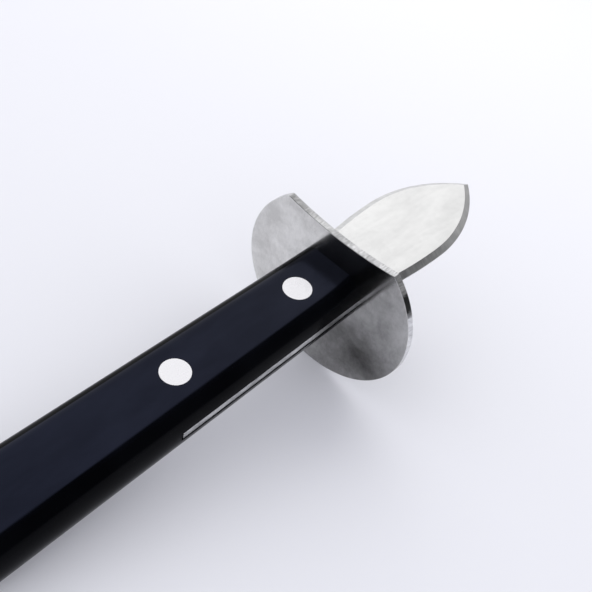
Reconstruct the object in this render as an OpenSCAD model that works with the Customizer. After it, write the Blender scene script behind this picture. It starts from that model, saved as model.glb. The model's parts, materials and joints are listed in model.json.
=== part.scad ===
// Shellfish-opening knife with a D-shaped hand guard, lying at rest on a table.
// The design frame has +X along the knife towards the tip, Y across it and Z out of the
// handle's flat, with X = 0 where the handle meets the guard. rest() then lays the knife
// down, so that the guard's rim and the handle's butt both touch the table at Z = 0.

/* [Handle] */
// Length of the handle behind the guard
handle_l = 108; // [95:1:125]
// Thickness of the handle from flat to flat
handle_t = 12.6; // [12:0.1:13.2]
// Half of the handle's width where it meets the guard
handle_front_half_w = 9.35; // [9.3:0.05:10]
// Angle by which each side spreads towards the butt
handle_spread = 0.75; // [0.5:0.05:1.5]
// Radius of the rounded sides across the handle
handle_side_r = 10.4; // [9.5:0.1:12]
// Radius of the rounded edges between the flats and the sides
edge_r = 3.8; // [3:0.1:4.4]
// Length over which the handle thickens towards the guard
swell_l = 10.5; // [8:0.5:18]
// Extra thickness of each flat at the guard
swell_h = 0.7; // [0:0.1:1.2]
// Corner radius of the butt seen from the side
butt_side_r = 3.5; // [2:0.5:5]
// Corner radius of the butt seen from above
butt_plan_r = 8; // [5:0.5:9]

/* [Blade] */
// Length of the blade from the handle's front face to the tip
blade_l = 57.5; // [52:0.5:65]
// Thickness of the blade and its tang
blade_t = 2.2; // [1.8:0.1:2.6]
// Half of the blade's width at its widest point
blade_half_w = 11.9; // [10:0.1:13]
// Distance of the widest point from the handle's front face
blade_widest_x = 29.5; // [26:0.5:34]
// Radius of the slack curve from the widest point back to the guard
blade_rear_r = 130; // [110:10:400]
// Width of the ground edge on each face, seen from above
bevel_w = 1.6; // [0.8:0.1:2]
// Thickness left along the blunt edge
edge_land = 0.3; // [0.2:0.05:0.6]

/* [Tang] */
// Length of the tang behind the guard
tang_l = 55; // [53:0.5:60]
// Half of the tang's width where it leaves the guard
tang_front_half_w = 9.27; // [9:0.01:9.29]
// Empty length of the handle's slot behind the tang
slot_gap = 0.6; // [0.3:0.1:2]

/* [Guard] */
// Radius of the guard's round rim
guard_r = 25.1; // [22:0.1:28]
// Thickness of the guard plate
guard_t = 1.8; // [1.5:0.1:2.5]
// Height of the rim's centre above the knife's mid-plane
guard_centre_z = -3.2; // [-5:0.1:0]
// Height of the guard's cut edge above the mid-plane, at its middle
chord_z = 14.5; // [12:0.1:18]
// Radius of the guard's hollowed cut edge
chord_r = 95; // [80:5:200]

/* [Rivets] */
// Radius of the rivets' heads
head_r = 3.5; // [3:0.1:4]
// Thickness of the rivets' heads
head_t = 2; // [1.5:0.1:2.5]
// Radius of the hollow halves' shanks
socket_r = 2.6; // [2.3:0.1:2.8]
// Radius of the solid halves' pins
pin_r = 1.5; // [1.2:0.1:1.8]
// Distance of the front rivet behind the guard
front_rivet_x = -12.1; // [-15:0.1:-11]
// Distance of the rear rivet behind the guard
rear_rivet_x = -49; // [-50:0.1:-45]
// Empty length left in front of the solid halves' pins
pin_gap = 2; // [1:0.5:3]
// Radial gap between a rivet and what it passes through
rivet_gap = 0.02; // [0.01:0.01:0.05]

/* [Hidden] */
$fn = 96;

handle_h = handle_t / 2;
butt_half_w = handle_front_half_w + handle_l * tan(handle_spread);
// The edges' bars stand proud of flat and side by a trace, so that every surface crosses cleanly.
edge_proud = 0.05;
edge_lift = handle_h - edge_r;
edge_reach = handle_side_r - edge_r;
edge_in = sqrt(edge_reach * edge_reach - edge_lift * edge_lift);
edge_meet_z = edge_lift * handle_side_r / edge_reach;
swell_tilt = atan(swell_h / swell_l);
tang_slope = tan(handle_spread);
tang_rear_half_w = tang_front_half_w + tang_l * tang_slope;
over = 1;
steps = 12;

// The tip's arc is tangent to the blade's axis direction at the widest point.
tip_run = blade_l - blade_widest_x;
tip_r = (tip_run * tip_run + blade_half_w * blade_half_w) / (2 * blade_half_w);

// Resting tilt: the butt's lower corner arc and the rim's back edge share one tangent line.
rim_drop = guard_r - guard_centre_z - (handle_h - butt_side_r);
butt_run = handle_l - butt_side_r;
rest_tilt = acos(butt_side_r / norm([rim_drop, butt_run])) - atan2(butt_run, rim_drop);
rest_low = (guard_centre_z - guard_r) * cos(rest_tilt);
rest_tip_x = blade_l * cos(rest_tilt) + edge_land / 2 * sin(rest_tilt);
rest_butt_x = -butt_run * cos(rest_tilt) - (handle_h - butt_side_r) * sin(rest_tilt) - butt_side_r;

// Lays what it is given down from the design frame to its rest on the table.
module rest() {
    translate([-(rest_tip_x + rest_butt_x) / 2, 0, -rest_low]) rotate([0, -rest_tilt, 0]) children();
}

// Points of a quarter round from one angle to another about a centre.
function arc_points(centre, r, from, to) =
    [for (i = [0:steps]) centre + r * [cos(from + (to - from) * i / steps), sin(from + (to - from) * i / steps)]];

// Height of the handle's flat: level, then swelling towards the guard.
function flat_z(x) = handle_h + swell_h * pow(max(0, 1 + x / swell_l), 2);

// Cutter profile of the handle from the side, thickening towards the guard.
module handle_side_profile() {
    top_side = [for (i = [0:steps]) [-swell_l * i / steps, flat_z(-swell_l * i / steps)]];
    top_corner = arc_points([-butt_run, handle_h - butt_side_r], butt_side_r, 90, 180);
    upper = concat(top_side, top_corner);
    lower = [for (i = [len(upper) - 1:-1:0]) [upper[i].x, -upper[i].y]];
    polygon(concat(upper, lower));
}

// Cutter profile of the handle from above, clear of the sides and round at the butt.
module handle_plan_profile() {
    corner_x = -handle_l + butt_plan_r;
    corner_y = butt_half_w - butt_plan_r;
    polygon(concat(
        [[0, butt_half_w]],
        arc_points([corner_x, corner_y], butt_plan_r, 90, 180),
        arc_points([corner_x, -corner_y], butt_plan_r, 180, 270),
        [[0, -butt_half_w]]
    ));
}

// Places what it is given on the axis of the left side's large radius.
module on_left_axis() {
    translate([0, handle_front_half_w - handle_side_r, 0]) rotate([0, 0, -handle_spread]) children();
}

// Everything inside the handle's left side: a long round bar and all that lies inward of it.
module left_side_limit() {
    bar_l = handle_l + 2 * handle_side_r;
    on_left_axis() {
        translate([-bar_l + handle_side_r, 0, 0]) rotate([0, 90, 0]) cylinder(h = bar_l, r = handle_side_r);
        translate([-bar_l + handle_side_r, -2 * guard_r, -handle_side_r])
            cube([bar_l, 2 * guard_r, 2 * handle_side_r]);
    }
}

// Everything inside the handle's left edges: a round bar along each edge, one more that follows
// the swell, the full height inward of them, and the full width between their lower halves.
module left_edge_limit() {
    bar_l = handle_l + 2 * handle_side_r;
    on_left_axis() {
        translate([-bar_l + handle_side_r, edge_in - 2 * guard_r, -handle_side_r])
            cube([bar_l, 2 * guard_r, 2 * handle_side_r]);
        translate([-bar_l + handle_side_r, 0, -edge_meet_z])
            cube([bar_l, 2 * handle_side_r, 2 * edge_meet_z]);
        for (face = [-1, 1]) translate([0, edge_in + edge_proud, face * (edge_lift + edge_proud)]) {
            translate([-bar_l + handle_side_r, 0, 0]) rotate([0, 90, 0]) cylinder(h = bar_l, r = edge_r);
            translate([-swell_l, 0, 0]) rotate([0, 90 - face * swell_tilt, 0])
                cylinder(h = 4 * swell_l, r = edge_r, center = true);
        }
    }
}

module handle_blank() {
    intersection() {
        left_side_limit();
        mirror([0, 1, 0]) left_side_limit();
        left_edge_limit();
        mirror([0, 1, 0]) left_edge_limit();
        rotate([90, 0, 0]) translate([0, 0, -2 * guard_r]) linear_extrude(4 * guard_r) handle_side_profile();
        translate([0, 0, -2 * handle_t]) linear_extrude(4 * handle_t) handle_plan_profile();
    }
}

// Stepped hole for one rivet: a narrow bore with a head recess at each flat.
module rivet_hole(x) {
    translate([x, 0, -handle_t]) cylinder(h = 2 * handle_t, r = socket_r + rivet_gap);
    for (end = [-1, 1])
        translate([x, 0, end * (handle_h - head_t / 2 + over / 2)])
            cylinder(h = head_t + over, r = head_r + rivet_gap, center = true);
}

module handle() {
    slot_l = tang_l + slot_gap;
    color("#16171f") rest() difference() {
        handle_blank();
        translate([-slot_l, -2 * guard_r, -blade_t / 2]) cube([slot_l + over, 4 * guard_r, blade_t]);
        rivet_hole(front_rivet_x);
        rivet_hole(rear_rivet_x);
    }
}

// Disc whose rim is ground from both faces to a blunt edge.
module ground_disc(r) {
    rotate_extrude($fn = 360)
        polygon([
            [0, -blade_t / 2], [r - bevel_w, -blade_t / 2], [r, -edge_land / 2],
            [r, edge_land / 2], [r - bevel_w, blade_t / 2], [0, blade_t / 2]
        ]);
}

// The part of the blade that two facing ground discs of one radius share.
module ground_lens(r) {
    intersection_for(side = [-1, 1])
        translate([blade_widest_x, side * (blade_half_w - r), 0]) ground_disc(r);
}

module blade_body() {
    intersection() {
        ground_lens(tip_r);
        translate([blade_widest_x, -guard_r, -blade_t]) cube([tip_run + over, 2 * guard_r, 2 * blade_t]);
    }
    intersection() {
        ground_lens(blade_rear_r);
        translate([guard_t, -guard_r, -blade_t]) cube([blade_widest_x - guard_t, 2 * guard_r, 2 * blade_t]);
    }
}

module tang_body() {
    translate([0, 0, -blade_t / 2]) linear_extrude(blade_t)
        polygon([
            [guard_t, tang_front_half_w], [0, tang_front_half_w], [-tang_l, tang_rear_half_w],
            [-tang_l, -tang_rear_half_w], [0, -tang_front_half_w], [guard_t, -tang_front_half_w]
        ]);
}

module blade() {
    color("#dcdcde") rest() difference() {
        union() {
            blade_body();
            tang_body();
        }
        for (x = [front_rivet_x, rear_rivet_x])
            translate([x, 0, -blade_t]) cylinder(h = 2 * blade_t, r = socket_r + rivet_gap);
    }
}

module guard() {
    color("#a9aaac") rest() difference() {
        translate([0, 0, guard_centre_z]) rotate([0, 90, 0]) cylinder(h = guard_t, r = guard_r, $fn = 180);
        translate([-over, 0, chord_z + chord_r])
            rotate([0, 90, 0]) cylinder(h = guard_t + 2 * over, r = chord_r, $fn = 360);
        translate([-over, -tang_front_half_w, -blade_t / 2])
            cube([guard_t + 2 * over, 2 * tang_front_half_w, blade_t]);
    }
}

// Hollow half of a cutler's rivet, with its head in the upper flat.
module rivet_socket(x) {
    reach = handle_t - head_t;
    translate([x, 0, handle_h]) difference() {
        union() {
            translate([0, 0, -head_t]) cylinder(h = head_t, r = head_r);
            translate([0, 0, -reach]) cylinder(h = reach, r = socket_r);
        }
        translate([0, 0, -reach - over]) cylinder(h = reach + over - head_t, r = pin_r + rivet_gap);
    }
}

// Solid half of a cutler's rivet, with its head in the lower flat and its pin in the socket.
module rivet_pin(x) {
    translate([x, 0, -handle_h]) {
        cylinder(h = head_t, r = head_r);
        cylinder(h = handle_t - head_t - pin_gap, r = pin_r);
    }
}

module front_rivet_socket() {
    color("#f2f2f2") rest() rivet_socket(front_rivet_x);
}

module front_rivet_pin() {
    color("#f2f2f2") rest() rivet_pin(front_rivet_x);
}

module rear_rivet_socket() {
    color("#f2f2f2") rest() rivet_socket(rear_rivet_x);
}

module rear_rivet_pin() {
    color("#f2f2f2") rest() rivet_pin(rear_rivet_x);
}

handle();
blade();
guard();
front_rivet_socket();
front_rivet_pin();
rear_rivet_socket();
rear_rivet_pin();
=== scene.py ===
import json
import math

import bmesh
import bpy
from mathutils import Matrix, Vector


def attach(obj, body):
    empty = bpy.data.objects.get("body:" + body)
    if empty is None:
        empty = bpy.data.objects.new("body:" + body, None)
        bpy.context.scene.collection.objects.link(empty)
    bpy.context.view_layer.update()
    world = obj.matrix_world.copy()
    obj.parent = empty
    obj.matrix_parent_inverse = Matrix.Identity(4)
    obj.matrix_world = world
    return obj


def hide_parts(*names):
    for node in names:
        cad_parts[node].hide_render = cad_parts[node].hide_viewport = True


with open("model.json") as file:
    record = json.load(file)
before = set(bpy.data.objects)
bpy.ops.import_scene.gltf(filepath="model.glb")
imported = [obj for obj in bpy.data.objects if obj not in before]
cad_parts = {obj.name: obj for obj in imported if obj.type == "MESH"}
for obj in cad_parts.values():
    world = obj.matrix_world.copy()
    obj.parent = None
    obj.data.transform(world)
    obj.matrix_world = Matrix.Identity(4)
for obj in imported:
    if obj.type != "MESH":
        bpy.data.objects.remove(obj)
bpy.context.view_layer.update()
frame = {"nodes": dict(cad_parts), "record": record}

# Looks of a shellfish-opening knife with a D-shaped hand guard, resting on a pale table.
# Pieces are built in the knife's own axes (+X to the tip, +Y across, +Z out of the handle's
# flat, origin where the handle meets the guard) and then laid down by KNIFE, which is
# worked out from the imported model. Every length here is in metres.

MM = 0.001


# ---------------------------------------------------------------- the knife's own axes

def mount(name):
    """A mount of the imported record, by name."""
    return next(m for m in frame["record"]["mounts"] if m["name"] == name)


def own_axes():
    """Matrix whose columns are the knife's own axes, seen in the model's frame."""
    out_of_flat = Vector(mount("upper_flat")["axis"])
    across = Vector((0, 1, 0))
    along = across.cross(out_of_flat)
    return Matrix((along, across, out_of_flat)).transposed()


def own_box(node, axes):
    """Lowest and highest corner of a CAD node along the knife's own axes."""
    turned = [axes.transposed() @ v.co for v in frame["nodes"][node].data.vertices]
    low = Vector(min(p[i] for p in turned) for i in range(3))
    high = Vector(max(p[i] for p in turned) for i in range(3))
    return low, high


AXES = own_axes()
guard_low, guard_high = own_box("guard", AXES)
flat_mid = (Vector(mount("upper_flat")["pos_m"]) + Vector(mount("lower_flat")["pos_m"])) / 2
ORIGIN = Vector((guard_low.x, 0, (AXES.transposed() @ flat_mid).z))
KNIFE = Matrix.Translation(AXES @ ORIGIN) @ AXES.to_4x4()


def sized(node):
    """A CAD node's corners measured from the knife's own origin."""
    low, high = own_box(node, AXES)
    return low - ORIGIN, high - ORIGIN


handle_low, handle_high = sized("handle")
blade_low, blade_high = sized("blade")
guard_low, guard_high = sized("guard")

# ---------------------------------------------------------------- driving sizes

HANDLE_L = -handle_low.x
FLAT_Z = (Vector(mount("upper_flat")["pos_m"]) - Vector(mount("lower_flat")["pos_m"])).length / 2
HANDLE_FRONT_HALF = 9.35 * MM
HANDLE_SPREAD = math.tan(math.radians(0.75))
HANDLE_SIDE_R = 10.4 * MM
EDGE_ROUND = 3.8 * MM
SWELL_L = 10.5 * MM
SWELL_H = handle_high.z - FLAT_Z
BUTT_SIDE_R = 3.5 * MM
BUTT_PLAN_R = 8 * MM

BLADE_L = blade_high.x
BLADE_T = 2.2 * MM
BLADE_HALF = blade_high.y
BLADE_WIDEST_X = 29.5 * MM
BLADE_REAR_R = 130 * MM
BEVEL_W = 1.6 * MM
EDGE_LAND = 0.3 * MM

TANG_L = -blade_low.x
# A trace narrower than the slot's mouth, so that a thin dark line shows along the tang.
TANG_FRONT_HALF = 9.13 * MM
TANG_SLOPE = HANDLE_SPREAD
SLOT_GAP = 0.6 * MM

GUARD_T = guard_high.x
GUARD_R = guard_high.y
GUARD_CENTRE_Z = guard_low.z + GUARD_R
CHORD_Z = 14.5 * MM
CHORD_R = 95 * MM

# Places on the guard, in the knife's own axes, and how far round each the steel is marked. The patch low
# on the right wing is partly real tarnish and partly painted shade for the shadow the wing mirrors.
TORN_MID = Vector((0.9, -21.1, 10.4)) * MM
TORN_REACH = 2.8 * MM
TORN_FADE = 2 * MM
TARNISH_AND_SHADE_MID = Vector((0.9, -13, -15)) * MM
TARNISH_AND_SHADE_CORE = -2 * MM
TARNISH_AND_SHADE_REACH = 31 * MM

HEAD_R = 3.5 * MM
HEAD_T = 2 * MM
HEAD_CHAMFER = 0.08 * MM
SOCKET_R = 2.6 * MM
PIN_R = 1.5 * MM
PIN_SHORT = 2 * MM
RIVET_GAP = 0.02 * MM

SLOT_LIP = 0.12 * MM
GUARD_CORNER = 0.2 * MM
BLADE_CORNER = 0.1 * MM
# How upright a face's normal is where a flat starts, on the plastic and on the blade.
PLASTIC_FLAT = 0.93
STEEL_FLAT = 0.99
# How far a cutter reaches past what it cuts.
OVER = 1 * MM
ROUND_STEPS = 64


def rivet_x(name):
    """Distance of a rivet along the knife, from its CAD node."""
    low, high = sized(name)
    return (low.x + high.x) / 2


# ---------------------------------------------------------------- node materials

class Shader:
    """A node material being wired up, with short helpers for the nodes it uses."""

    def __init__(self, name):
        self.material = bpy.data.materials.new(name)
        self.material.use_nodes = True
        self.tree = self.material.node_tree
        self.surface = self.tree.nodes["Principled BSDF"]
        self.where = self.new("ShaderNodeTexCoord").outputs["Object"]

    def new(self, kind, **settings):
        """A node of a kind, with its own settings."""
        node = self.tree.nodes.new(kind)
        for key, value in settings.items():
            setattr(node, key, value)
        return node

    def link(self, source, target):
        self.tree.links.new(source, target)

    def put(self, **values):
        """Sets sockets of the surface that are the same all over."""
        for key, value in values.items():
            self.surface.inputs[key.replace("_", " ")].default_value = value
        return self

    def stretched(self, scale, turn=(0, 0, 0)):
        """Coordinates turned in degrees, then scaled along each axis."""
        mapping = self.new("ShaderNodeMapping")
        mapping.inputs["Rotation"].default_value = [math.radians(a) for a in turn]
        mapping.inputs["Scale"].default_value = scale
        self.link(self.where, mapping.inputs["Vector"])
        return mapping.outputs["Vector"]

    def noise(self, where, scale, detail=3.0, rough=0.5, distort=0.0):
        """Smooth noise, mostly between 0.3 and 0.7."""
        node = self.new("ShaderNodeTexNoise")
        node.inputs["Scale"].default_value = scale
        node.inputs["Detail"].default_value = detail
        node.inputs["Roughness"].default_value = rough
        node.inputs["Distortion"].default_value = distort
        self.link(where, node.inputs["Vector"])
        return node.outputs["Fac"]

    def spread(self, value, low, high, to_low, to_high):
        """Value remapped from one range to another, clamped."""
        node = self.new("ShaderNodeMapRange")
        sockets = ("From Min", "From Max", "To Min", "To Max")
        for socket, number in zip(sockets, (low, high, to_low, to_high)):
            node.inputs[socket].default_value = number
        self.link(value, node.inputs["Value"])
        return node.outputs["Result"]

    def mixed(self, factor, first, second):
        """Colour between two, by a factor; either may be a socket or a colour."""
        node = self.new("ShaderNodeMix", data_type="RGBA")
        colours = [s for s in node.inputs if s.type == "RGBA"]
        for socket, item in zip(colours, (first, second)):
            if isinstance(item, (tuple, list)):
                socket.default_value = (*item, 1.0)
            else:
                self.link(item, socket)
        self.link(factor, node.inputs["Factor"])
        return next(s for s in node.outputs if s.type == "RGBA")

    def maths(self, kind, first, second):
        """Arithmetic on two values; either may be a socket or a number."""
        node = self.new("ShaderNodeMath", operation=kind)
        for socket, item in zip(node.inputs, (first, second)):
            if isinstance(item, (int, float)):
                socket.default_value = item
            else:
                self.link(item, socket)
        return node.outputs["Value"]

    def away_from(self, place):
        """Distance from a place on the object."""
        node = self.new("ShaderNodeVectorMath", operation="DISTANCE")
        self.link(self.where, node.inputs[0])
        node.inputs[1].default_value = place
        return node.outputs["Value"]

    def bump(self, height, distance, strength):
        """Fine relief, from a height and the depth it stands for."""
        node = self.new("ShaderNodeBump")
        node.inputs["Distance"].default_value = distance
        node.inputs["Strength"].default_value = strength
        self.link(height, node.inputs["Height"])
        self.link(node.outputs["Normal"], self.surface.inputs["Normal"])

    def colour(self, source):
        self.link(source, self.surface.inputs["Base Color"])

    def roughness(self, source):
        self.link(source, self.surface.inputs["Roughness"])


def handle_plastic(name, shine, tint, rough):
    """Black moulded plastic with a patchy sheen, faint wipe marks and a fine mould grain."""
    s = Shader(name).put(Specular_Tint=(*tint, 1), Metallic=0.0)
    wipes = s.noise(s.stretched((120, 420, 120), turn=(0, 0, 24)), 1.0, detail=4)
    patches = s.noise(s.stretched((70, 70, 70)), 1.0, detail=2)
    shade = s.spread(patches, 0.35, 0.65, 0, 1)
    s.colour(s.mixed(shade, (0.0010, 0.0011, 0.0016), (0.0018, 0.0020, 0.0028)))
    hazy = s.noise(s.stretched((45, 130, 45), turn=(0, 0, 24)), 1.0, detail=4, rough=0.6)
    s.link(s.spread(hazy, 0.35, 0.65, 0.84 * shine, 1.16 * shine), s.surface.inputs["Specular IOR Level"])
    s.roughness(s.spread(wipes, 0.3, 0.7, rough - 0.04, rough + 0.06))
    grain = s.noise(s.where, 9000, detail=2)
    s.bump(grain, 0.002 * MM, 0.5)
    return s.material


def blade_flat_steel():
    """Polished blade face: bright, with faint wipe marks, small specks and long scratches."""
    s = Shader("blade_flat_steel").put(Metallic=1.0)
    wipes = s.noise(s.stretched((60, 210, 60), turn=(0, 0, 30)), 1.0, detail=6, rough=0.65, distort=0.5)
    specks = s.noise(s.where, 620, detail=3, rough=0.6)
    shade = s.maths("ADD", s.maths("MULTIPLY", wipes, 0.7), s.maths("MULTIPLY", specks, 0.3))
    s.colour(s.mixed(s.spread(shade, 0.38, 0.60, 0, 1), (0.685, 0.685, 0.685), (0.745, 0.745, 0.745)))
    s.roughness(s.spread(wipes, 0.3, 0.7, 0.27, 0.22))
    scratch = s.noise(s.stretched((60, 6000, 60), turn=(0, 0, 8)), 1.0, detail=2)
    s.bump(scratch, 0.0015 * MM, 0.6)
    return s.material


def ground_edge_steel():
    """Coarse ground edge with grind lines across it."""
    s = Shader("ground_edge_steel").put(Metallic=1.0)
    lines = s.noise(s.stretched((2600, 260, 260)), 1.0, detail=3, rough=0.6)
    patches = s.noise(s.where, 320, detail=3)
    shade = s.maths("ADD", s.maths("MULTIPLY", lines, 0.6), s.maths("MULTIPLY", patches, 0.4))
    s.colour(s.mixed(s.spread(shade, 0.38, 0.62, 0, 1), (0.46, 0.46, 0.465), (0.68, 0.68, 0.68)))
    s.roughness(s.spread(lines, 0.3, 0.7, 0.34, 0.5))
    s.bump(lines, 0.02 * MM, 0.7)
    return s.material


def tang_edge_steel():
    """Tang's edge, dressed almost flush: long file marks and a dull patchy grain."""
    s = Shader("tang_edge_steel").put(Metallic=1.0)
    marks = s.noise(s.stretched((160, 2600, 2600)), 1.0, detail=4, rough=0.6)
    patches = s.noise(s.where, 420, detail=3)
    shade = s.maths("ADD", s.maths("MULTIPLY", marks, 0.6), s.maths("MULTIPLY", patches, 0.4))
    s.colour(s.mixed(s.spread(shade, 0.36, 0.62, 0, 1), (0.24, 0.24, 0.245), (0.68, 0.68, 0.68)))
    s.roughness(s.spread(marks, 0.3, 0.7, 0.36, 0.24))
    s.bump(marks, 0.01 * MM, 0.6)
    return s.material


def guard_face_steel():
    """Tumble-polished sheet: mirror-like under a cloudy haze, with a broad dark patch low on one side that
    is partly tarnish and partly painted shade for a mirrored shadow, small stains and fine marks."""
    s = Shader("guard_face_steel").put(Metallic=1.0)
    cloud = s.noise(s.stretched((70, 70, 70)), 1.0, detail=4, rough=0.55, distort=0.2)
    stain = s.noise(s.stretched((240, 240, 240), turn=(25, 0, 0)), 1.0, detail=6, rough=0.72, distort=0.25)
    fine = s.noise(s.stretched((300, 2200, 620), turn=(35, 0, 0)), 1.0, detail=4, rough=0.6)
    shade = s.maths("ADD", s.maths("MULTIPLY", cloud, 0.45), s.maths("MULTIPLY", stain, 0.40))
    shade = s.maths("ADD", shade, s.maths("MULTIPLY", fine, 0.15))
    plain = s.mixed(s.spread(shade, 0.38, 0.60, 0, 1), (0.57, 0.565, 0.55), (0.84, 0.835, 0.815))
    # Dark patch low on the right wing: partly tarnish, partly painted shade for the mirrored shadow of the
    # floor under the handle.
    broad = s.maths("MULTIPLY", s.maths("SUBTRACT", cloud, 0.5), 16 * MM)
    small = s.maths("MULTIPLY", s.maths("SUBTRACT", stain, 0.5), 10 * MM)
    away = s.maths("ADD", s.away_from(KNIFE @ TARNISH_AND_SHADE_MID), s.maths("ADD", broad, small))
    tarnish_and_shade = s.spread(away, TARNISH_AND_SHADE_CORE, TARNISH_AND_SHADE_REACH, 1, 0)
    s.colour(s.mixed(tarnish_and_shade, plain, (0.045, 0.044, 0.042)))
    s.roughness(s.spread(stain, 0.3, 0.7, 0.18, 0.10))
    s.bump(fine, 0.0015 * MM, 0.5)
    return s.material


def sheared_steel():
    """Sheared sheet edge: grainy, with short marks across it and one dark torn stretch."""
    s = Shader("sheared_steel").put(Metallic=1.0)
    marks = s.noise(s.stretched((300, 2600, 2600)), 1.0, detail=3, rough=0.6)
    zones = s.noise(s.where, 150, detail=2)
    shade = s.maths("ADD", s.maths("MULTIPLY", marks, 0.55), s.maths("MULTIPLY", zones, 0.45))
    plain = s.mixed(s.spread(shade, 0.36, 0.6, 0, 1), (0.34, 0.34, 0.345), (0.76, 0.76, 0.77))
    away = s.maths("ADD", s.away_from(KNIFE @ TORN_MID), s.maths("MULTIPLY", marks, TORN_FADE))
    torn = s.spread(away, TORN_REACH, TORN_REACH + TORN_FADE, 1, 0)
    s.colour(s.mixed(torn, plain, (0.03, 0.03, 0.03)))
    s.roughness(s.spread(zones, 0.35, 0.65, 0.42, 0.26))
    s.bump(marks, 0.02 * MM, 0.6)
    return s.material


def rivet_metal():
    """Buffed rivet metal, almost white, with a faint turned grain."""
    s = Shader("rivet_metal").put(Metallic=1.0)
    cloud = s.noise(s.where, 700, detail=3)
    s.colour(s.mixed(s.spread(cloud, 0.35, 0.65, 0, 1), (0.71, 0.705, 0.735), (0.745, 0.74, 0.77)))
    s.roughness(s.spread(cloud, 0.3, 0.7, 0.22, 0.3))
    s.bump(s.noise(s.stretched((900, 5200, 900), turn=(0, 0, 20)), 1.0, detail=2), 0.0003 * MM, 0.5)
    return s.material


# ---------------------------------------------------------------- mesh helpers

def arc(centre, r, start, end, steps):
    """Points of an arc between two angles in degrees, both ends included."""
    out = []
    for i in range(steps + 1):
        a = math.radians(start + (end - start) * i / steps)
        out.append((centre[0] + r * math.cos(a), centre[1] + r * math.sin(a)))
    return out


def new_piece(name, mesh, node, materials):
    """A finished piece in place: laid down, riding on the root and standing for its CAD node."""
    mesh.transform(KNIFE)
    mesh.update()
    for material in materials:
        mesh.materials.append(material)
    piece = bpy.data.objects.new(name, mesh)
    bpy.context.scene.collection.objects.link(piece)
    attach(piece, "root")
    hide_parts(node)
    return piece


def ring_mesh(name, rings):
    """Closed skin through rings of equal length, each a list of points."""
    mesh = bpy.data.meshes.new(name)
    count = len(rings[0])
    verts = [p for ring in rings for p in ring]
    faces = []
    for r in range(len(rings) - 1):
        for i in range(count):
            j = (i + 1) % count
            faces.append((r * count + i, r * count + j, (r + 1) * count + j, (r + 1) * count + i))
    faces.append(tuple(reversed(range(count))))
    faces.append(tuple(range((len(rings) - 1) * count, len(rings) * count)))
    mesh.from_pydata(verts, [], faces)
    outward(mesh)
    return mesh


def outward(mesh):
    """Makes every face of a closed mesh look outward."""
    bm = bmesh.new()
    bm.from_mesh(mesh)
    bmesh.ops.recalc_face_normals(bm, faces=bm.faces)
    bm.to_mesh(mesh)
    bm.free()


def cut(mesh, *cutters):
    """The mesh less the cutters, by exact boolean."""
    body = bpy.data.objects.new("body", mesh)
    bpy.context.scene.collection.objects.link(body)
    tools = []
    for cutter in cutters:
        tool = bpy.data.objects.new("tool", cutter)
        bpy.context.scene.collection.objects.link(tool)
        tools.append(tool)
        step = body.modifiers.new("cut", "BOOLEAN")
        step.operation = "DIFFERENCE"
        step.solver = "EXACT"
        step.object = tool
    graph = bpy.context.evaluated_depsgraph_get()
    result = bpy.data.meshes.new_from_object(body.evaluated_get(graph))
    for used in [body, *tools]:
        bpy.data.objects.remove(used)
    return result


def soften(piece, width, angle=30):
    """Fine rounded edges along a piece's sharp corners, with level faces kept level."""
    step = piece.modifiers.new("edge", "BEVEL")
    step.width = width
    step.segments = 2
    step.limit_method = "ANGLE"
    step.angle_limit = math.radians(angle)
    step.harden_normals = True
    piece.data.shade_smooth()


def sharp_by_angle(mesh, angle):
    """Smooth shading that breaks at corners sharper than the angle."""
    mesh.shade_smooth()
    mesh.set_sharp_from_angle(angle=math.radians(angle))


def tube_between(x0, x1, section0, section1, name):
    """Prism along X between two sections of (y, z) points."""
    rings = [[(x0, y, z) for y, z in section0], [(x1, y, z) for y, z in section1]]
    return ring_mesh(name, rings)


def full_circle(x, r):
    """Points of a whole circle round (x, 0), the first not repeated at the end."""
    return arc((x, 0), r, 0, 360 - 360 / ROUND_STEPS, ROUND_STEPS - 1)


def post(name, x, z0, z1, r):
    """Upright round bar in the knife's own axes."""
    circle = full_circle(x, r)
    return ring_mesh(name, [[(px, py, z) for px, py in circle] for z in (z0, z1)])


# ---------------------------------------------------------------- handle

def handle_half_width(x):
    """Half of the handle's width, which grows towards the butt."""
    return HANDLE_FRONT_HALF - HANDLE_SPREAD * x


def handle_section(x):
    """Outline of the handle across X: two flats, four edge rounds, two round sides."""
    half = handle_half_width(x)
    top = FLAT_Z + SWELL_H * max(0.0, 1 + x / SWELL_L) ** 2
    centre_y = half - HANDLE_SIDE_R
    reach = HANDLE_SIDE_R - EDGE_ROUND
    lift = top - EDGE_ROUND
    edge_y = centre_y + math.sqrt(reach * reach - lift * lift)
    meet = math.degrees(math.asin(lift / reach))
    flat_steps = 6
    quarter = [(edge_y * i / flat_steps, top) for i in range(1, flat_steps)]
    quarter += arc((edge_y, lift), EDGE_ROUND, 90, meet, steps=10)
    quarter += arc((centre_y, 0), HANDLE_SIDE_R, meet, 0, steps=18)[1:]
    lower = [(y, -z) for y, z in reversed(quarter[:-1])]
    right = [(0, top)] + quarter + lower + [(0, -top)]
    left = [(-y, z) for y, z in reversed(right[1:-1])]
    return right + left


def butt_shrink(x):
    """How far the butt's rounding narrows a section at X, as (width share, height share)."""
    half = handle_half_width(x)
    into_plan = max(0.0, -x - (HANDLE_L - BUTT_PLAN_R))
    into_side = max(0.0, -x - (HANDLE_L - BUTT_SIDE_R))
    plan = half - BUTT_PLAN_R + math.sqrt(max(0.0, BUTT_PLAN_R ** 2 - into_plan ** 2))
    side = FLAT_Z - BUTT_SIDE_R + math.sqrt(max(0.0, BUTT_SIDE_R ** 2 - into_side ** 2))
    return plan / half, side / FLAT_Z


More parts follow.
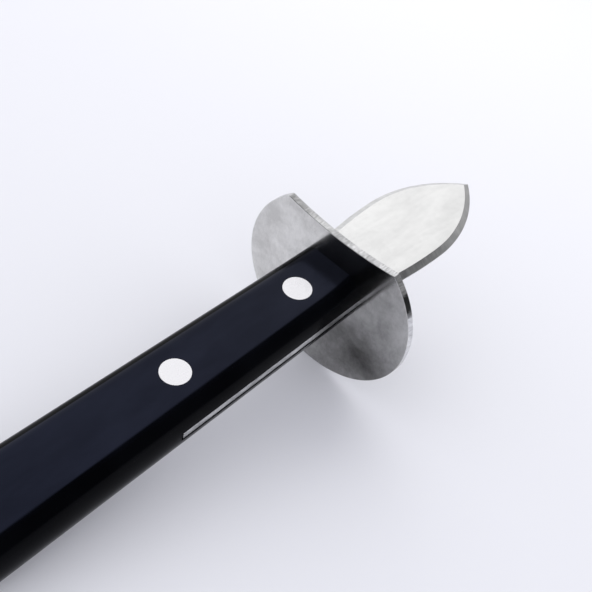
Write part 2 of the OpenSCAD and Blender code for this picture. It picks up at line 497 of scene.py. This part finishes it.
def handle_stations():
    """X of each section: close together in the swell and round the butt."""
    swell_steps = 12
    straight_steps = 16
    swell = [-SWELL_L * i / swell_steps for i in range(swell_steps + 1)]
    straight_l = HANDLE_L - BUTT_PLAN_R - SWELL_L
    straight = [-SWELL_L - straight_l * i / straight_steps for i in range(1, straight_steps + 1)]
    start = HANDLE_L - BUTT_PLAN_R
    plan_run = [start + BUTT_PLAN_R * math.sin(math.radians(a)) for a in range(6, 91, 6)]
    side_start = HANDLE_L - BUTT_SIDE_R
    side_run = [side_start + BUTT_SIDE_R * math.sin(math.radians(a)) for a in range(10, 90, 10)]
    butt = sorted(set(plan_run + side_run))
    return swell + straight + [-x for x in butt]


def slot_section(x):
    """Saw slot for the tang, opening out into a small lip at each side of the handle."""
    half = handle_half_width(x)
    low = BLADE_T / 2
    right = [(half - SLOT_LIP, low), (half + SLOT_LIP, low + 2 * SLOT_LIP)]
    corners = right + [(y, -z) for y, z in reversed(right)]
    return corners + [(-y, z) for y, z in corners][::-1]


def handle():
    """One-piece grip with its saw slot and stepped rivet holes."""
    rings = []
    for x in handle_stations():
        wide, high = butt_shrink(x)
        rings.append([(x, y * wide, z * high) for y, z in handle_section(x)])
    mesh = ring_mesh("handle_skin", rings)
    slot_end = -TANG_L - SLOT_GAP
    cutters = [tube_between(slot_end, OVER, slot_section(slot_end), slot_section(OVER), "slot")]
    clear = 2 * FLAT_Z
    for x in (rivet_x("front_rivet_pin"), rivet_x("rear_rivet_pin")):
        cutters.append(post("bore", x, -clear, clear, SOCKET_R + RIVET_GAP))
        for end in (-1, 1):
            low, high = sorted((end * (FLAT_Z - HEAD_T), end * clear))
            cutters.append(post("recess", x, low, high, HEAD_R + RIVET_GAP))
    mesh = cut(mesh, *cutters)
    mesh.materials.clear()
    for face in mesh.polygons:
        face.material_index = 0 if abs(face.normal.z) > PLASTIC_FLAT else 1
    sharp_by_angle(mesh, 30)
    # The flats get a stronger, blue-tinted sheen than the round sides. This is partly a real difference in
    # finish and partly a painted sheen and blue reflection standing in for light the room doesn't give.
    flats = handle_plastic("handle_flat_plastic", 0.24, (0.47, 0.55, 1.0), 0.16)
    sides = handle_plastic("handle_side_plastic", 0.03, (1.0, 1.0, 1.0), 0.17)
    return new_piece("handle_body", mesh, "handle", [flats, sides])


# ---------------------------------------------------------------- blade and tang

def blade_half_outline(inset):
    """(x, y) of the blade's left edge from the guard to the tip, moved in by the inset."""
    rear_steps = 20
    tip_steps = 40
    run = BLADE_L - BLADE_WIDEST_X
    tip_r = (run * run + BLADE_HALF * BLADE_HALF) / (2 * BLADE_HALF)
    out = []
    for i in range(rear_steps):
        x = GUARD_T + (BLADE_WIDEST_X - GUARD_T) * i / rear_steps
        r = BLADE_REAR_R - inset
        drop = math.sqrt(r * r - (x - BLADE_WIDEST_X) ** 2)
        out.append((x, BLADE_HALF - BLADE_REAR_R + drop))
    r = tip_r - inset
    end = math.acos((tip_r - BLADE_HALF) / r)
    for i in range(tip_steps + 1):
        a = end * i / tip_steps
        out.append((BLADE_WIDEST_X + r * math.sin(a), BLADE_HALF - tip_r + r * math.cos(a)))
    out[-1] = (out[-1][0], 0.0)
    return out


def blade_ring(inset, z):
    """Closed outline of blade and tang at one level."""
    left = blade_half_outline(inset)
    tang_rear = TANG_FRONT_HALF + TANG_L * TANG_SLOPE
    tang = [(-TANG_L, tang_rear), (0.0, TANG_FRONT_HALF), (GUARD_T, TANG_FRONT_HALF)]
    half = tang + left
    ring = half + [(x, -y) for x, y in reversed(half[:-1])]
    return [(x, y, z) for x, y in ring]


def blade():
    """Ground blade and half tang, one sheet of steel."""
    levels = [(BEVEL_W, -BLADE_T / 2), (0, -EDGE_LAND / 2), (0, EDGE_LAND / 2), (BEVEL_W, BLADE_T / 2)]
    mesh = ring_mesh("blade_skin", [blade_ring(inset, z) for inset, z in levels])
    bores = [
        post("bore", rivet_x(name), -2 * BLADE_T, 2 * BLADE_T, SOCKET_R + RIVET_GAP)
        for name in ("front_rivet_pin", "rear_rivet_pin")
    ]
    mesh = cut(mesh, *bores)
    mesh.materials.clear()
    for face in mesh.polygons:
        on_tang = face.center.x < GUARD_T
        face.material_index = 0 if abs(face.normal.z) > STEEL_FLAT else 2 if on_tang else 1
    steels = [blade_flat_steel(), ground_edge_steel(), tang_edge_steel()]
    piece = new_piece("blade_and_tang", mesh, "blade", steels)
    soften(piece, BLADE_CORNER, angle=20)
    return piece


# ---------------------------------------------------------------- guard

def guard_outline():
    """(y, z) outline of the D: a round rim, cut off along a slightly hollow edge."""
    chord_centre = CHORD_Z + CHORD_R
    # Where the rim and the hollow edge's circle cross.
    gap = chord_centre - GUARD_CENTRE_Z
    up = (gap * gap + GUARD_R ** 2 - CHORD_R ** 2) / (2 * gap)
    across = math.sqrt(GUARD_R ** 2 - up * up)
    start = math.degrees(math.atan2(up, -across))
    rim = arc((0, GUARD_CENTRE_Z), GUARD_R, start, 360 + math.degrees(math.atan2(up, across)), steps=150)
    lean = math.degrees(math.asin(across / CHORD_R))
    edge = arc((0, chord_centre), CHORD_R, -90 + lean, -90 - lean, steps=40)
    return rim + edge[1:-1]


def guard():
    """D-shaped plate with a slot for the tang."""
    outline = guard_outline()
    mesh = tube_between(0, GUARD_T, outline, outline, "guard_skin")
    half_w, half_t = TANG_FRONT_HALF, BLADE_T / 2
    hole = [(-half_w, -half_t), (half_w, -half_t), (half_w, half_t), (-half_w, half_t)]
    mesh = cut(mesh, tube_between(-OVER, GUARD_T + OVER, hole, hole, "hole"))
    mesh.materials.clear()
    for face in mesh.polygons:
        face.material_index = 0 if abs(face.normal.x) > 0.9 else 1
    steels = [guard_face_steel(), sheared_steel()]
    piece = new_piece("hand_guard", mesh, "guard", steels)
    soften(piece, GUARD_CORNER)
    return piece


# ---------------------------------------------------------------- rivets

def turned(name, profile, x, base, up):
    """Body of revolution about an upright axis through x, from (radius, height) points."""
    rings = []
    for r, h in profile:
        rings.append([(px, py, base + up * h) for px, py in full_circle(x, r)])
    return ring_mesh(name, rings)


def rivet_pair(where):
    """The hollow and the solid half of one cutler's rivet."""
    reach = 2 * FLAT_Z - HEAD_T
    pin_end = reach - PIN_SHORT
    x = rivet_x(where + "_rivet_pin")
    head = [(HEAD_R - HEAD_CHAMFER, 0), (HEAD_R, HEAD_CHAMFER), (HEAD_R, HEAD_T)]
    pin = head + [(PIN_R, HEAD_T), (PIN_R, pin_end - HEAD_CHAMFER), (PIN_R - HEAD_CHAMFER, pin_end)]
    socket = head + [(SOCKET_R, HEAD_T), (SOCKET_R, reach)]
    bore = [(PIN_R + RIVET_GAP, HEAD_T), (PIN_R + RIVET_GAP, reach + OVER)]
    metal = rivet_metal()
    pin_mesh = turned("pin_skin", pin, x, -FLAT_Z, 1)
    socket_mesh = turned("socket_skin", socket, x, FLAT_Z, -1)
    socket_mesh = cut(socket_mesh, turned("bore_skin", bore, x, FLAT_Z, -1))
    for mesh in (pin_mesh, socket_mesh):
        mesh.materials.clear()
        sharp_by_angle(mesh, 30)
    new_piece(where + "_rivet_solid_half", pin_mesh, where + "_rivet_pin", [metal])
    new_piece(where + "_rivet_hollow_half", socket_mesh, where + "_rivet_socket", [metal])


# ---------------------------------------------------------------- stage, light, camera

# The room as polished surfaces see it. Edges are directions: X along the knife, Y across it.
WINDOW_LEVEL = 1.28
WINDOW_EDGE = (0.12, 0.28)
DARK_LEVEL = 0.012
# Share of the window's light far behind the butt and halfway there, and where each fade runs.
FAR_SHARE = 0.04
HALFWAY_SHARE = 0.46
FAR_FADE = (-0.86, -0.72)
NEAR_FADE = (-0.50, -0.10)
CARD_LEVEL = 0.62
CARD_EDGE = (0.42, 0.72)

# The room as matt surfaces see it, and as the camera does.
DIM_ROOM = (0.373, 0.377, 0.410)
BRIGHT_ROOM = (1.41, 1.42, 1.545)
SIDE_WALLS = 0.58
PALE = (0.88, 0.89, 0.93)

KEY_PLACE = Vector((0.32, 0.16, 0.40))
KEY_AIM = Vector((0.06, 0.05, 0))
KEY_SIZE = 0.50
KEY_POWER = 0.80
KEY_COLOUR = (1.0, 0.985, 0.93)

TABLE_HALF = 3.0
TABLE_COLOUR = (0.866, 0.868, 0.885)

# The camera's place and turn, in the knife's own axes.
CAMERA_PLACE = Vector((-138.105, -83.109, 168.103)) * MM
CAMERA_AZIMUTH = math.radians(33.37)
CAMERA_ELEVATION = math.radians(47.45)
CAMERA_ROLL = math.radians(13.61)
CAMERA_LENS = 59.44


def floor():
    """Plain pale table top."""
    mesh = bpy.data.meshes.new("table_top")
    near, far = -TABLE_HALF, TABLE_HALF
    corners = [(near, near, 0), (far, near, 0), (far, far, 0), (near, far, 0)]
    mesh.from_pydata(corners, [], [(0, 1, 2, 3)])
    top = bpy.data.objects.new("table_top", mesh)
    bpy.context.scene.collection.objects.link(top)
    material = bpy.data.materials.new("table_white")
    material.use_nodes = True
    surface = material.node_tree.nodes["Principled BSDF"]
    surface.inputs["Base Color"].default_value = (*TABLE_COLOUR, 1)
    surface.inputs["Roughness"].default_value = 0.7
    surface.inputs["Specular IOR Level"].default_value = 0.1
    mesh.materials.append(material)


def pick(tree, choice, otherwise, chosen):
    """Colour that is the chosen one where the choice is 1, for the world's nodes."""
    node = tree.nodes.new("ShaderNodeMix")
    node.data_type = "RGBA"
    tree.links.new(choice, node.inputs["Factor"])
    for socket, item in zip([s for s in node.inputs if s.type == "RGBA"], (otherwise, chosen)):
        if isinstance(item, tuple):
            socket.default_value = (*item, 1)
        else:
            tree.links.new(item, socket)
    return next(s for s in node.outputs if s.type == "RGBA")


def ramp(tree, value, edge, low, high):
    """Value carried smoothly from low to high across an edge, for the world's nodes."""
    node = tree.nodes.new("ShaderNodeMapRange")
    node.interpolation_type = "SMOOTHSTEP"
    sockets = ("From Min", "From Max", "To Min", "To Max")
    for socket, number in zip(sockets, (*edge, low, high)):
        node.inputs[socket].default_value = number
    tree.links.new(value, node.inputs["Value"])
    return node.outputs["Result"]


def combine(tree, kind, *values):
    """Arithmetic on one or two values, for the world's nodes."""
    node = tree.nodes.new("ShaderNodeMath")
    node.operation = kind
    for socket, value in zip(node.inputs, values):
        tree.links.new(value, socket)
    return node.outputs["Value"]


def polished_view(tree, along, across):
    """A wide window on the knife's left, dim behind the butt, and a card beyond the tip."""
    window = ramp(tree, across, WINDOW_EDGE, DARK_LEVEL, WINDOW_LEVEL)
    far = ramp(tree, along, FAR_FADE, FAR_SHARE, HALFWAY_SHARE)
    near = ramp(tree, along, NEAR_FADE, 0.0, 1 - HALFWAY_SHARE)
    card = ramp(tree, along, CARD_EDGE, 0.0, CARD_LEVEL)
    lit = combine(tree, "MULTIPLY", window, combine(tree, "ADD", far, near))
    return combine(tree, "MAXIMUM", lit, card)


def matt_view(tree, along, across):
    """Walls brighter than the ceiling, and brightest behind the butt."""
    behind = ramp(tree, along, (0.1, -1.0), 0.0, 1.0)
    beside = ramp(tree, combine(tree, "ABSOLUTE", across), (0.0, 1.0), 0.0, SIDE_WALLS)
    return pick(tree, combine(tree, "ADD", behind, beside), DIM_ROOM, BRIGHT_ROOM)


def sky():
    """The room round the table, apart for polished surfaces, matt surfaces and the camera."""
    world = bpy.data.worlds.new("studio")
    bpy.context.scene.world = world
    world.use_nodes = True
    tree = world.node_tree
    coord = tree.nodes.new("ShaderNodeTexCoord")
    split = tree.nodes.new("ShaderNodeSeparateXYZ")
    tree.links.new(coord.outputs["Generated"], split.inputs["Vector"])
    along, across = split.outputs["X"], split.outputs["Y"]
    path = tree.nodes.new("ShaderNodeLightPath")
    polished = polished_view(tree, along, across)
    lighting = pick(tree, path.outputs["Is Glossy Ray"], matt_view(tree, along, across), polished)
    seen = pick(tree, path.outputs["Is Camera Ray"], lighting, PALE)
    tree.links.new(seen, tree.nodes["Background"].inputs["Color"])


def studio():
    """The room, and one soft key light beyond the tip, to the knife's left."""
    sky()
    lamp = bpy.data.lights.new("key_softbox", "AREA")
    lamp.shape = "SQUARE"
    lamp.size = KEY_SIZE
    lamp.energy = KEY_POWER
    lamp.color = KEY_COLOUR
    key = bpy.data.objects.new("key_softbox", lamp)
    key.location = KEY_PLACE
    key.rotation_euler = (KEY_AIM - KEY_PLACE).to_track_quat("-Z", "Y").to_euler()
    key.visible_glossy = False
    bpy.context.scene.collection.objects.link(key)


def camera():
    """Camera over the butt's right side, looking along the knife towards its tip."""
    level_x = -math.cos(CAMERA_ELEVATION) * math.cos(CAMERA_AZIMUTH)
    level_y = -math.cos(CAMERA_ELEVATION) * math.sin(CAMERA_AZIMUTH)
    back = Vector((level_x, level_y, math.sin(CAMERA_ELEVATION)))
    level = (-back).cross(Vector((0, 0, 1))).normalized()
    rise = back.cross(level)
    right = math.cos(CAMERA_ROLL) * level + math.sin(CAMERA_ROLL) * rise
    turn = Matrix((right, back.cross(right), back)).transposed().to_4x4()
    lens = bpy.data.cameras.new("camera")
    lens.sensor_width = 36
    lens.lens = CAMERA_LENS
    lens.clip_start = 0.01
    holder = bpy.data.objects.new("camera", lens)
    holder.matrix_world = KNIFE @ Matrix.Translation(CAMERA_PLACE) @ turn
    bpy.context.scene.collection.objects.link(holder)
    bpy.context.scene.camera = holder


camera()
floor()
studio()
handle()
blade()
guard()
rivet_pair("front")
rivet_pair("rear")
bpy.context.scene.view_settings.view_transform = "Standard"
